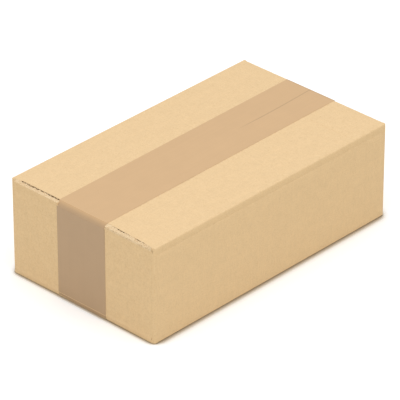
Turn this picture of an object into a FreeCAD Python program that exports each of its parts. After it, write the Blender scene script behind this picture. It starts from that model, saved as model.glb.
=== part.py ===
import FreeCAD, Part

import os

import Sketcher

# Sizes in millimetres: name, value, what it is.
SIZES = (
    ("inner_length", 248.8, "inside length, between the end panels"),
    ("inner_width", 142.0, "inside width, between the side panels"),
    ("inner_depth", 69.7, "inside depth, between the minor flaps"),
    ("board", 2.8, "thickness of the single-wall corrugated board"),
    ("flap_gap", 0.2, "play between a major flap and the minor flaps under it"),
    ("fold_inside", 0.4, "inside radius of the flaps' folds"),
    ("fold_outside", 1.2, "outside radius of the flaps' folds, whose score has crushed the board"),
    ("corner_inside", 1.2, "inside radius of the upright corners"),
    ("corner_outside", 3.0, "outside radius of the upright corners"),
    ("slot_clearance", 0.4, "play between a minor flap's side edge and the side panel"),
    ("minor_reach", 73.0, "how far a minor flap reaches in from the end panel's outside"),
    ("base_end", 0.5, "set-back of the major flaps' ends, as the slots leave them"),
    ("near_front_fold", 0.5, "set-back of the top front flap's near end, at its fold"),
    ("near_front_corner", 1.8, "set-back of the top front flap's near end, past its bent corner"),
    ("near_front_seam", 4.2, "set-back of the top front flap's near end, at the seam"),
    ("near_back_fold", 0.9, "set-back of the top back flap's near end, at its fold"),
    ("near_back_corner", 3.2, "set-back of the top back flap's near end, past its bent corner"),
    ("near_back_seam", 3.5, "set-back of the top back flap's near end, at the seam"),
    ("bent_corner", 11.0, "width of those bent corners, in from the side panels"),
    ("far_front", 2.2, "set-back of the top front flap's far end"),
    ("far_back", 1.4, "set-back of the top back flap's far end"),
    ("seam_near", -1.0, "place of the seam off the middle, at the near end"),
    ("seam_far", 3.2, "place of the seam off the middle, at the far end"),
    ("seam_gap_near", 0.3, "gap between the major flaps, at the near end"),
    ("seam_gap_far", 1.5, "gap between the major flaps, at the far end"),
    ("slot_overcut", 0.3, "how far the slots between the flaps run past the folds"),
    ("liner", 0.35, "thickness of the board's outer paper"),
    ("flute_pitch", 6.5, "pitch of the board's flutes"),
    ("flute_width", 5.0, "width of a flute that the knife has opened"),
    ("flute_inset", 4.2, "middle of the opened upper flute, in from the end panel's outside"),
    ("upper_flute", 0.9, "height of the opened flute under the outer liner"),
    ("lower_flute", 0.8, "height of the opened flute over the inner liner"),
    ("glue_lap", 35.0, "width of the maker's glue lap, inside the far end panel"),
    ("lap_taper", 6.0, "how much shorter the glue lap is along its free edge, at each end"),
    ("lap_drop", 1.5, "how far the glue lap stops short of the end panel's folds"),
    ("joint_step", 0.5, "how far the far end panel's raw edge stops short of the back panel"),
    ("joint_groove", 1.5, "width of the groove between that raw edge and the fold beside it"),
    ("tape_width", 49.2, "width of the sealing tape"),
    ("tape_film", 0.06, "thickness of the sealing tape"),
    ("tape_near", 0.6, "place of the tape's middle off the box's middle, at the near end"),
    ("tape_far", 2.9, "place of the tape's middle off the box's middle, at the far end"),
    ("tape_lap_start", 20.0, "where the tape's end lap starts on the base"),
    ("tape_lap", 60.0, "length of the tape's end lap on the base"),
)

# Outer half sizes of the box, and levels above its middle.
HALF_LENGTH = "(Sizes.inner_length / 2 + Sizes.board)"
HALF_WIDTH = "(Sizes.inner_width / 2 + Sizes.board)"
HALF_HEIGHT = "(Sizes.inner_depth / 2 + 2 * Sizes.board + Sizes.flap_gap)"
MINOR_LEVEL = f"({HALF_HEIGHT} - Sizes.board - Sizes.flap_gap)"
SLOT_FLOOR = f"({MINOR_LEVEL} - Sizes.fold_outside - Sizes.slot_overcut)"

# The tape lies two films deep in the base, so that its end lap is flush there.
TAPE_BED = "(2 * Sizes.tape_film)"

# How far a cutting outline runs past the board.
PAST = "Sizes.board"


def make_sheet(doc):
    sheet = doc.addObject("Spreadsheet::Sheet", "Sizes")
    for row, (name, value, meaning) in enumerate(SIZES, start=1):
        sheet.set(f"A{row}", name)
        sheet.set(f"B{row}", str(value))
        sheet.set(f"C{row}", meaning)
        sheet.setAlias(f"B{row}", name)
    doc.recompute()


def make_body(doc, label):
    body = doc.addObject("PartDesign::Body", label.title().replace("_", ""))
    body.Label = label
    body.setExpression(".Placement.Base.z", HALF_HEIGHT)
    return body


def origin_plane(body, role):
    for feature in body.Origin.OriginFeatures:
        if feature.Role == role:
            return feature
    raise ValueError(role)


def add_sketch(body, name, role, level=None):
    """A sketch on one of the body's own origin planes, or at a level above it."""
    sketch = body.newObject("Sketcher::SketchObject", name)
    sketch.AttachmentSupport = [(origin_plane(body, role), "")]
    sketch.MapMode = "FlatFace"
    if level:
        sketch.setExpression(".AttachmentOffset.Base.z", level)
    return sketch


def number(sketch, formula):
    value = sketch.Document.Sizes.evalExpression(formula)
    return float(getattr(value, "Value", value))


def bind(sketch, kind, *place):
    """Add a constraint whose value is a formula of the sheet's sizes, the last argument."""
    formula = place[-1]
    index = sketch.addConstraint(Sketcher.Constraint(kind, *place[:-1], number(sketch, formula)))
    sketch.setExpression(f"Constraints[{index}]", formula)


def place_point(sketch, geometry, end, across, up):
    bind(sketch, "DistanceX", -1, 1, geometry, end, across)
    bind(sketch, "DistanceY", -1, 1, geometry, end, up)


def draw_outline(sketch, corners):
    """A closed outline through corners given as (across, up) or (across, up, radius).

    A rounded corner is an arc tangent to the two runs, which still aim at the corner.
    """
    points = [FreeCAD.Vector(number(sketch, c[0]), number(sketch, c[1]), 0) for c in corners]
    count = len(corners)
    starts, ends, centres = [], [], []
    for i, corner in enumerate(corners):
        back = (points[i - 1] - points[i]).normalize()
        ahead = (points[(i + 1) % count] - points[i]).normalize()
        middle = (back + ahead).normalize()
        radius = number(sketch, corner[2]) if len(corner) > 2 else 0.0
        reach = radius / back.cross(middle).Length
        trim = reach * back.dot(middle)
        starts.append(points[i] + back * trim)
        ends.append(points[i] + ahead * trim)
        centres.append(points[i] + middle * (reach - radius))
    runs = []
    for i in range(count):
        runs.append(sketch.addGeometry(Part.LineSegment(ends[i], starts[(i + 1) % count])))
    for i, corner in enumerate(corners):
        run_in, run_out = runs[i - 1], runs[i]
        if len(corner) == 2:
            sketch.addConstraint(Sketcher.Constraint("Coincident", run_in, 2, run_out, 1))
            place_point(sketch, run_out, 1, corner[0], corner[1])
            continue
        arc = sketch.addGeometry(Part.Arc(starts[i], centres[i], ends[i]))
        first = 1 if sketch.getPoint(arc, 1).isEqual(starts[i], 1e-6) else 2
        sketch.addConstraint(Sketcher.Constraint("Tangent", run_in, 2, arc, first))
        sketch.addConstraint(Sketcher.Constraint("Tangent", arc, 3 - first, run_out, 1))
        bind(sketch, "Radius", arc, corner[2])
        aim = sketch.addGeometry(Part.Point(points[i]), True)
        sketch.addConstraint(Sketcher.Constraint("PointOnObject", aim, 1, run_in))
        sketch.addConstraint(Sketcher.Constraint("PointOnObject", aim, 1, run_out))
        place_point(sketch, aim, 1, corner[0], corner[1])


def draw_box(sketch, low_across, high_across, low_up, high_up):
    draw_outline(sketch, [
        (low_across, low_up),
        (high_across, low_up),
        (high_across, high_up),
        (low_across, high_up),
    ])


def draw_lens(sketch, middle, flat_level, rise):
    """A flute cut open: a flat along its liner, and an arc for the wave of the medium."""
    half = "Sizes.flute_width / 2"
    left, right = f"{middle} - {half}", f"{middle} + {half}"
    crown = f"{flat_level} + ({rise})"
    points = [
        FreeCAD.Vector(number(sketch, left), number(sketch, flat_level), 0),
        FreeCAD.Vector(number(sketch, middle), number(sketch, crown), 0),
        FreeCAD.Vector(number(sketch, right), number(sketch, flat_level), 0),
    ]
    flat = sketch.addGeometry(Part.LineSegment(points[0], points[2]))
    arc = sketch.addGeometry(Part.Arc(*points))
    first = 1 if sketch.getPoint(arc, 1).isEqual(points[0], 1e-6) else 2
    sketch.addConstraint(Sketcher.Constraint("Coincident", flat, 1, arc, first))
    sketch.addConstraint(Sketcher.Constraint("Coincident", flat, 2, arc, 3 - first))
    place_point(sketch, flat, 1, left, flat_level)
    place_point(sketch, flat, 2, right, flat_level)
    top = sketch.addGeometry(Part.Point(points[1]), True)
    sketch.addConstraint(Sketcher.Constraint("PointOnObject", top, 1, arc))
    place_point(sketch, top, 1, middle, crown)


def pad(body, sketch, length, both_ways=False):
    feature = body.newObject("PartDesign::Pad", sketch.Name + "Pad")
    feature.Profile = sketch
    feature.SideType = "Symmetric" if both_ways else "One side"
    feature.setExpression("Length", length)
    return feature


def pocket(body, sketch, length, upward=False, both_ways=False):
    """Cut down from the sketch, or upward from it, or to both sides of it."""
    feature = body.newObject("PartDesign::Pocket", sketch.Name + "Pocket")
    feature.Profile = sketch
    feature.SideType = "Symmetric" if both_ways else "One side"
    feature.Reversed = upward
    feature.setExpression("Length", length)
    return feature


def mirror(body, role):
    """Mirror all that the body holds so far in one of its origin planes."""
    body.Document.recompute()
    feature = body.newObject("PartDesign::Mirrored", "Mirrored" + role[:2])
    feature.TransformMode = "Whole shape"
    feature.MirrorPlane = (origin_plane(body, role), [""])
    body.Tip = feature
    return feature


def add_panels(body):
    """Four panels folded into a ring, with the glue lap inside the far end panel."""
    side, end = "Sizes.inner_width / 2", "Sizes.inner_length / 2"
    raw_edge = f"{HALF_WIDTH} - Sizes.joint_step"
    lap_edge = f"{side} - Sizes.glue_lap"
    sketch = add_sketch(body, "PanelRing", "XY_Plane")
    draw_outline(sketch, [
        (f"-{HALF_LENGTH}", f"-{HALF_WIDTH}", "Sizes.corner_outside"),
        (HALF_LENGTH, f"-{HALF_WIDTH}", "Sizes.corner_outside"),
        (HALF_LENGTH, raw_edge),
        (end, raw_edge),
        (end, f"{HALF_WIDTH} - Sizes.corner_outside"),
        (f"{end} - Sizes.joint_groove", HALF_WIDTH, "Sizes.corner_outside"),
        (f"-{HALF_LENGTH}", HALF_WIDTH, "Sizes.corner_outside"),
    ])
    draw_outline(sketch, [
        (f"-{end}", f"-{side}", "Sizes.corner_inside"),
        (end, f"-{side}", "Sizes.corner_inside"),
        (end, lap_edge),
        (f"{end} - Sizes.board", lap_edge),
        (f"{end} - Sizes.board", side, "Sizes.corner_inside"),
        (f"-{end}", side, "Sizes.corner_inside"),
    ])
    pad(body, sketch, SLOT_FLOOR)


def taper_glue_lap(body):
    """Cut the lap short of the folds, and slanting to its free edge."""
    side = "Sizes.inner_width / 2"
    lap_edge = f"{side} - Sizes.glue_lap"
    lap_top = f"{SLOT_FLOOR} - Sizes.lap_drop"
    low_corner = f"{lap_top} - Sizes.lap_taper"
    sketch = add_sketch(body, "LapTaper", "YZ_Plane", "Sizes.inner_length / 2")
    draw_outline(sketch, [
        (side, lap_top),
        (side, f"{SLOT_FLOOR} + {PAST}"),
        (f"{lap_edge} - {PAST}", f"{SLOT_FLOOR} + {PAST}"),
        (f"{lap_edge} - {PAST}", low_corner),
        (lap_edge, low_corner),
    ])
    pocket(body, sketch, "2 * Sizes.board")


def draw_cover(sketch, outside, inside, level):
    """Section of two opposite flaps and their folds, as one cover over the ring."""
    under = f"{level} - Sizes.board"
    draw_outline(sketch, [
        (f"-{outside}", SLOT_FLOOR),
        (f"-{outside}", level, "Sizes.fold_outside"),
        (outside, level, "Sizes.fold_outside"),
        (outside, SLOT_FLOOR),
        (inside, SLOT_FLOOR),
        (inside, under, "Sizes.fold_inside"),
        (f"-{inside}", under, "Sizes.fold_inside"),
        (f"-{inside}", SLOT_FLOOR),
    ])


def add_major_flaps(body):
    """The flaps of the long side panels, which meet at the seam."""
    cover = add_sketch(body, "MajorFlaps", "YZ_Plane")
    draw_cover(cover, HALF_WIDTH, "Sizes.inner_width / 2", HALF_HEIGHT)
    pad(body, cover, f"2 * {HALF_LENGTH}", both_ways=True)

    slots = add_sketch(body, "Slots", "XY_Plane", SLOT_FLOOR)
    past_length, past_width = f"({HALF_LENGTH} + {PAST})", f"({HALF_WIDTH} + {PAST})"
    draw_box(slots, f"-{past_length}", past_length, f"-{past_width}", past_width)
    slot_end = f"({HALF_LENGTH} - Sizes.base_end)"
    draw_outline(slots, [
        (f"-{slot_end}", f"-{HALF_WIDTH}", "Sizes.corner_outside"),
        (slot_end, f"-{HALF_WIDTH}", "Sizes.corner_outside"),
        (slot_end, HALF_WIDTH, "Sizes.corner_outside"),
        (f"-{slot_end}", HALF_WIDTH, "Sizes.corner_outside"),
    ])
    pocket(body, slots, f"{HALF_HEIGHT} - {SLOT_FLOOR} + {PAST}", upward=True)

    seam = add_sketch(body, "Seam", "XY_Plane", f"{MINOR_LEVEL} + Sizes.flap_gap / 2")
    draw_outline(seam, [
        (f"-{HALF_LENGTH}", "Sizes.seam_near - Sizes.seam_gap_near / 2"),
        (HALF_LENGTH, "Sizes.seam_far - Sizes.seam_gap_far / 2"),
        (HALF_LENGTH, "Sizes.seam_far + Sizes.seam_gap_far / 2"),
        (f"-{HALF_LENGTH}", "Sizes.seam_near + Sizes.seam_gap_near / 2"),
    ])
    pocket(body, seam, "2 * Sizes.board", upward=True)


def trim_top_ends(body):
    """Cut the top flaps' ends back to where they lie: they are pulled in and not quite square."""
    ends = add_sketch(body, "TopEnds", "XY_Plane", HALF_HEIGHT)
    front, back = f"-{HALF_WIDTH} - {PAST}", f"{HALF_WIDTH} + {PAST}"
    draw_outline(ends, [
        (f"-{HALF_LENGTH} - {PAST}", front),
        (f"-{HALF_LENGTH} + Sizes.near_front_fold", front),
        (f"-{HALF_LENGTH} + Sizes.near_front_fold", f"-{HALF_WIDTH}"),
        (f"-{HALF_LENGTH} + Sizes.near_front_corner", f"-{HALF_WIDTH} + Sizes.bent_corner"),
        (f"-{HALF_LENGTH} + Sizes.near_front_seam", "Sizes.seam_near"),
        (f"-{HALF_LENGTH} + Sizes.near_back_seam", "Sizes.seam_near"),
        (f"-{HALF_LENGTH} + Sizes.near_back_corner", f"{HALF_WIDTH} - Sizes.bent_corner"),
        (f"-{HALF_LENGTH} + Sizes.near_back_fold", HALF_WIDTH),
        (f"-{HALF_LENGTH} + Sizes.near_back_fold", back),
        (f"-{HALF_LENGTH} - {PAST}", back),
    ])
    draw_outline(ends, [
        (f"{HALF_LENGTH} + {PAST}", front),
        (f"{HALF_LENGTH} + {PAST}", back),
        (f"{HALF_LENGTH} - Sizes.far_back", back),
        (f"{HALF_LENGTH} - Sizes.far_back", "Sizes.seam_far"),
        (f"{HALF_LENGTH} - Sizes.far_front", "Sizes.seam_far"),
        (f"{HALF_LENGTH} - Sizes.far_front", front),
    ])
    pocket(body, ends, "Sizes.board + Sizes.flap_gap / 2")


def open_flutes(body):
    """Flutes that run along the top flaps' ends, laid open where the knife cut into them.

    The ends slant a little to the flutes, so an opened flute narrows and closes along the end.
    """
    upper = add_sketch(body, "UpperFlutes", "XZ_Plane")
    lower = add_sketch(body, "LowerFlutes", "XZ_Plane")
    for sign in ("-", ""):
        inset = f"{sign}({HALF_LENGTH} - Sizes.flute_inset)"
        draw_lens(upper, inset, f"{HALF_HEIGHT} - Sizes.liner", "-Sizes.upper_flute")
        inset = f"{sign}({HALF_LENGTH} - Sizes.flute_inset + Sizes.flute_pitch / 2)"
        draw_lens(lower, inset, f"{HALF_HEIGHT} - Sizes.board + Sizes.liner", "Sizes.lower_flute")
    pocket(body, upper, f"2 * ({HALF_WIDTH} - Sizes.board)", both_ways=True)
    pocket(body, lower, f"{HALF_WIDTH} - Sizes.board", upward=True)


def add_minor_flaps(body):
    """The flaps of the end panels, folded in first, under the major flaps."""
    cover = add_sketch(body, "MinorFlaps", "XZ_Plane")
    draw_cover(cover, HALF_LENGTH, "Sizes.inner_length / 2", MINOR_LEVEL)
    pad(body, cover, "Sizes.inner_width - 2 * Sizes.slot_clearance", both_ways=True)

    between = add_sketch(body, "MinorSpace", "XY_Plane", f"{MINOR_LEVEL} + Sizes.flap_gap / 2")
    free_edge = f"({HALF_LENGTH} - Sizes.minor_reach)"
    side = "(Sizes.inner_width / 2 - Sizes.slot_clearance / 2)"
    draw_box(between, f"-{free_edge}", free_edge, f"-{side}", side)
    pocket(body, between, "2 * Sizes.board")


def bed_tape(body):
    """The shallow bed that the box's weight presses the tape into, across the base."""
    half = "Sizes.tape_width / 2"
    sketch = add_sketch(body, "TapeBed", "XY_Plane", f"-{HALF_HEIGHT}")
    draw_outline(sketch, [
        (f"-{HALF_LENGTH}", f"Sizes.tape_near - {half}"),
        (HALF_LENGTH, f"Sizes.tape_far - {half}"),
        (HALF_LENGTH, f"Sizes.tape_far + {half}"),
        (f"-{HALF_LENGTH}", f"Sizes.tape_near + {half}"),
    ])
    pocket(body, sketch, TAPE_BED, upward=True)


def build_carton(doc):
    """A regular slotted carton of one sheet of board, folded shut."""
    body = make_body(doc, "carton")
    add_panels(body)
    taper_glue_lap(body)
    add_major_flaps(body)
    add_minor_flaps(body)
    mirror(body, "XY_Plane")
    trim_top_ends(body)
    open_flutes(body)
    bed_tape(body)
    return body


# Where the tape turns at each end, in from the end panel's outside: over the flap that reaches
# furthest out under it.
NEAR_TURN = (
    "min(Sizes.near_front_corner + (Sizes.near_front_seam - Sizes.near_front_corner)"
    f" * (1 - Sizes.tape_width / 2 / ({HALF_WIDTH} - Sizes.bent_corner)); Sizes.near_back_corner)"
)
FAR_TURN = "min(Sizes.far_front; Sizes.far_back)"


def tape_turns(sign, level, turn, off):
    """The two corners of the tape's line at one end, off the board by a distance.

    The tape turns down over the major flaps' end, leans out from there to the end panel's
    fold, which it touches at a tangent, and follows that fold down to the panel.
    """
    aside = f"(Sizes.fold_outside - {turn})"
    above = f"({level} - {MINOR_LEVEL} + Sizes.fold_outside)"
    reach = f"sqrt({aside}^2 + {above}^2)"
    lean = f"(asin(Sizes.fold_outside / {reach}) - atan({aside} / {above}))"
    over_flap = (
        f"{sign}({HALF_LENGTH} - {turn} + {off} * tan(45 deg - {lean} / 2))",
        f"({level} + {off})",
    )
    at_panel = (
        f"{sign}({HALF_LENGTH} + {off})",
        f"({level} - {turn} / tan({lean}) + {off} * tan({lean} / 2))",
        f"Sizes.fold_outside + {off}",
    )
    return over_flap, at_panel


def draw_belt(sketch, off):
    """The tape's closed line round the box, off the board by a distance."""
    base_level = f"({HALF_HEIGHT} - {TAPE_BED})"
    corners = []
    for sign, turn, order in (("-", NEAR_TURN, 1), ("", FAR_TURN, -1)):
        top_flap, top_panel = tape_turns(sign, HALF_HEIGHT, turn, off)
        base_flap, base_panel = tape_turns(sign, base_level, "Sizes.base_end", off)
        corners += [
            top_flap,
            top_panel,
            (base_panel[0], f"-{base_panel[1]}", base_panel[2]),
            (base_flap[0], f"-{base_flap[1]}"),
        ][::order]
    draw_outline(sketch, corners)


def build_tape(doc):
    """One strip of tape wound lengthwise round the box, its end lapped over its start."""
    body = make_body(doc, "sealing_tape")
    film = "Sizes.tape_film"
    belt = add_sketch(body, "Belt", "XZ_Plane")
    draw_belt(belt, film)
    draw_belt(belt, "0")
    pad(body, belt, "2 * Sizes.tape_width", both_ways=True)

    lap = add_sketch(body, "EndLap", "XZ_Plane")
    lap_end = "Sizes.tape_lap_start + Sizes.tape_lap"
    draw_box(lap, "Sizes.tape_lap_start", lap_end, f"-{HALF_HEIGHT}", f"-{HALF_HEIGHT} + {film}")
    pad(body, lap, "2 * Sizes.tape_width", both_ways=True)

    width = add_sketch(body, "TapeWidth", "XY_Plane")
    beyond = f"({HALF_LENGTH} + {PAST})"
    for sign in ("-", "+"):
        outer = f"{sign}1.5 * Sizes.tape_width"
        near = f"Sizes.tape_near {sign} Sizes.tape_width / 2"
        far = f"Sizes.tape_far {sign} Sizes.tape_width / 2"
        draw_outline(width, [
            (f"-{beyond}", outer),
            (beyond, outer),
            (beyond, far),
            (HALF_LENGTH, far),
            (f"-{HALF_LENGTH}", near),
            (f"-{beyond}", near),
        ])
    pocket(body, width, f"2 * ({HALF_HEIGHT} + {PAST})", both_ways=True)
    return body


def check_document(doc):
    for item in doc.Objects:
        if "Invalid" in item.State or "Error" in item.State:
            raise RuntimeError(f"{item.Name} failed: {item.State}")


def check_shape(body):
    if body.Shape.isNull() or not body.Shape.isValid():
        raise RuntimeError(f"{body.Label} has no valid shape")


def main():
    doc = FreeCAD.newDocument("ClosedBox")
    make_sheet(doc)
    bodies = [build_carton(doc), build_tape(doc)]
    doc.recompute()
    check_document(doc)
    for body in bodies:
        check_shape(body)
    os.makedirs("parts", exist_ok=True)
    for body in bodies:
        body.Shape.exportStep(f"parts/{body.Label}.step")
        print(body.Label, round(body.Shape.Volume, 1), body.Shape.BoundBox)


main()
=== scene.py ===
import math

import bmesh
import bpy
from mathutils import Matrix, Vector, noise


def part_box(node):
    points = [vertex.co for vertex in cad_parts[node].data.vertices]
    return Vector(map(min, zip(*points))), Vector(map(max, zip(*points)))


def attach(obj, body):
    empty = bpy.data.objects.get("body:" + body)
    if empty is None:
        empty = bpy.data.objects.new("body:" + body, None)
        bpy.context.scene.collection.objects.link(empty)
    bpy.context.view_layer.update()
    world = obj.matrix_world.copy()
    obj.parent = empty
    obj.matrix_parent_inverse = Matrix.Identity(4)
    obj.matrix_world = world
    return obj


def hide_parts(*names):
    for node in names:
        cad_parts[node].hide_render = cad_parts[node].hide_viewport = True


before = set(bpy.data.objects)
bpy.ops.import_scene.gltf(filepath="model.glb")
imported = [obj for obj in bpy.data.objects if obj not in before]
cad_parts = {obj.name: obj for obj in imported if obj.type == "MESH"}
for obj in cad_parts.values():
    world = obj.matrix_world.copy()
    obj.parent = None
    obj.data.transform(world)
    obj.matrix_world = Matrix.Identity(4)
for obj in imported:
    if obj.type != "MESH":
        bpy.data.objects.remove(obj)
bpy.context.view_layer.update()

# The carton: one sheet of single-wall B-flute board, about 2.8 mm thick, with brown kraft paper
# on both sides. It is slotted, scored, glued at one corner and folded shut, long flaps outside.
# The flutes stand upright in the panels and run on across the flaps. The slots that part the
# flaps lie one board's thickness in from the long sides.
mm = 0.001
half_length, half_width, box_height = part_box("carton")[1]
board = 2.8 * mm
liner = 0.35 * mm
flute_pitch = 6.5 * mm
fold_radius = 1.2 * mm
corner_radius = 3.0 * mm
flap_bottom = box_height - board
liner_bottom = box_height - liner
slot = half_width - board
x_axis, y_axis, z_axis = Vector((1, 0, 0)), Vector((0, 1, 0)), Vector((0, 0, 1))


def sheet_of(node):
    """The node's solid with its triangles joined back to whole faces, to be cut finely."""
    sheet = bmesh.new()
    sheet.from_mesh(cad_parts[node].data)
    bmesh.ops.remove_doubles(sheet, verts=sheet.verts, dist=1e-6)
    bmesh.ops.dissolve_limit(
        sheet, angle_limit=math.radians(0.3), verts=sheet.verts, edges=sheet.edges
    )
    return sheet


def as_piece(sheet, name):
    """The finished sheet as an object. The frame's normals would hide the relief, so they go."""
    mesh = bpy.data.meshes.new(name)
    sheet.to_mesh(mesh)
    sheet.free()
    mesh.attributes.remove(mesh.attributes["custom_normal"])
    piece = bpy.data.objects.new(name, mesh)
    bpy.context.collection.objects.link(piece)
    return piece


def smooth(mesh):
    """Shades the mesh smooth and keeps every fold sharper than 35 degrees."""
    mesh.shade_smooth()
    mesh.set_sharp_from_angle(angle=math.radians(35))


def cut_faces(sheet, faces, direction, places):
    """Cuts faces along planes across a direction, the middle plane first, so each meets few."""
    if not faces or not places:
        return
    middle = len(places) // 2
    parts = set(faces)
    for face in faces:
        parts.update(face.edges)
        parts.update(face.verts)
    cut = bmesh.ops.bisect_plane(
        sheet, geom=list(parts), dist=1e-6, plane_co=direction * places[middle], plane_no=direction
    )
    pieces = [part for part in cut["geom"] if isinstance(part, bmesh.types.BMFace)]
    below = [f for f in pieces if f.calc_center_median().dot(direction) < places[middle]]
    above = [f for f in pieces if f.calc_center_median().dot(direction) >= places[middle]]
    cut_faces(sheet, below, direction, places[:middle])
    cut_faces(sheet, above, direction, places[middle + 1:])


def steps(low, high, spacing):
    """Places between low and high, evenly spaced and as near to the spacing as they fit."""
    count = max(1, round((high - low) / spacing))
    return [low + (high - low) * i / count for i in range(1, count)]


def is_outside(face):
    """True for the panels', flaps' and folds' outer faces, and not for the cut ends."""
    centre, normal = face.calc_center_median(), face.normal
    skin = 0.2 * mm
    if normal.z > 0.9:
        return centre.z > box_height - skin
    if normal.z < -0.9:
        return centre.z < skin
    if normal.x * centre.x > 0.7 * abs(centre.x):
        in_a_panel = board < centre.z < flap_bottom
        return in_a_panel and abs(centre.x) > half_length - fold_radius
    return normal.y * centre.y > 0 and abs(centre.y) > half_width - fold_radius


def is_cut_end(face):
    """True for the short ends of the long flaps, where the knife went through the board, and for
    the flutes that it laid open there."""
    centre, normal = face.calc_center_median(), face.normal
    flute_depth = 8 * mm
    in_a_flap = centre.z < board or centre.z > flap_bottom
    knifed = abs(normal.x) > 0.9 or centre.z > flap_bottom + 0.1 * mm
    at_an_end = abs(centre.x) > half_length - flute_depth
    return in_a_flap and knifed and at_an_end and not is_outside(face)


def is_top_end(face):
    """True near the top of the short ends, where folding crushes the flaps' ends."""
    centre = face.calc_center_median()
    return centre.z > flap_bottom - 1.6 * mm and abs(centre.x) > half_length - 9 * mm


def is_base_end(face):
    """True near the foot of the short ends, where the base flaps' ends are pressed flush."""
    centre = face.calc_center_median()
    return centre.z < board + 2 * mm and abs(centre.x) > half_length - 4 * mm


# The marks the photograph shows on it: a faint crease below the long panels' folds, a crush
# line across the front flap near its far end, and a thin broken crack along the near end,
# where the knife opened a flute and folding crushed it shut again here and there. The crack's
# open stretches are (from, to, how wide) in mm across the box, and each opens and shuts again
# over stretch_ramp mm. Under the tape, between two places across the box at each end, the board
# stays as it is.
score_drop = 6.3 * mm
score_cuts = [offset * mm for offset in (-1.2, -0.8, -0.4, 0, 0.4, 0.8, 1.2)]
crush_place = 90.5 * mm
crush_reach = (-69 * mm, -26 * mm)
crush_cuts = [offset * mm for offset in (-0.7, -0.35, 0, 0.35, 0.7)]
open_stretches = [
    (60.2, 64.6, 0.9), (51.4, 59.0, 1.1), (46.6, 50.6, 1.0), (40.3, 45.6, 0.9), (24.0, 39.4, 0.9),
    (-33.8, -29.5, 0.3), (-42.3, -34.4, 0.8), (-44.4, -43.0, 0.6), (-47.4, -45.4, 0.5),
    (-58.9, -53.7, 0.9), (-62.8, -60.6, 0.8),
]
stretch_ramp = 0.8
under_the_tape = {-1: (-23.6 * mm, 24.8 * mm), 1: (-21.3 * mm, 27.1 * mm)}

# The cut's own sizes: how ragged its lip is, near and far, and how far it droops; the levels of
# the two flutes that the knife opened; how much of the upper one's mouth stays open, how far it
# moves outwards, and how far it closes over the lip where it is shut; how flat the lower one is
# crushed; and how low the crushed shoulder lies. The flaps' ends stand end_step in from the short
# panels, and snug is the hair's breadth left where two surfaces are pressed together.
ripple, fine_ripple, droop_ripple = 3.1 * mm, 1.1 * mm, 4.3 * mm
lip_recess = {-1: 0.3 * mm, 1: 0.09 * mm}
lip_droop = 0.15 * mm
upper_flute = box_height - 1.4 * mm
mouth_share = 0.8
mouth_shift = 0.4 * mm
shut_overlap = 0.22 * mm
lower_flute = box_height - 2.05 * mm
lower_flute_top = box_height - 1.62 * mm
lower_flute_rise = 0.25 * mm
lower_flute_share = 0.04
shoulder_drop = 1.45 * mm
end_step = 0.5 * mm
snug = 0.02 * mm


def opened(place):
    """How wide the crack stands open there, with a short ramp at the ends of each stretch."""
    y = place / mm
    return max(
        wide * min(1.0, max(0.0, 0.5 + min(y - low, high - y) / stretch_ramp))
        for low, high, wide in open_stretches
    )


def corner_sag(y):
    """How far the rounded corner lies in from the short end's plane, at a place across the box."""
    past = min(corner_radius, max(0.0, abs(y) - half_width + corner_radius))
    return corner_radius - math.sqrt(corner_radius ** 2 - past ** 2)


def looks_out(vert, side, most_upward=1.0):
    """True if a face at the point looks out of that short end, and up no more than given."""
    return any(f.normal.x * side > 0.01 and f.normal.z <= most_upward for f in vert.link_faces)


def press_out_the_corner(vert, place, side, reach):
    """The rounded corner stands in a little beside the flaps, and folding presses it out flush."""
    rounded = abs(place.y) > half_width - corner_radius - 0.1 * mm
    if rounded and abs(place.x) < reach - 0.3 * mm and looks_out(vert, side, most_upward=0.5):
        vert.co.x += side * min(end_step, reach - abs(place.x))


def press_out_the_fold(vert, place, side, reach):
    """The short panel's fold is squeezed outwards under the flaps' ends, and up to the slots."""
    squeezed = flap_bottom - 1.5 * mm < place.z < flap_bottom - 0.05 * mm
    if not squeezed or abs(place.x) <= half_length - fold_radius - 0.1 * mm:
        return
    if abs(place.y) < half_width - corner_radius + 0.25 * mm and looks_out(vert, side):
        vert.co.x = side * (reach - snug)
    if abs(place.y) > slot - 0.45 * mm:
        vert.co.y = math.copysign(slot - snug, place.y)


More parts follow.
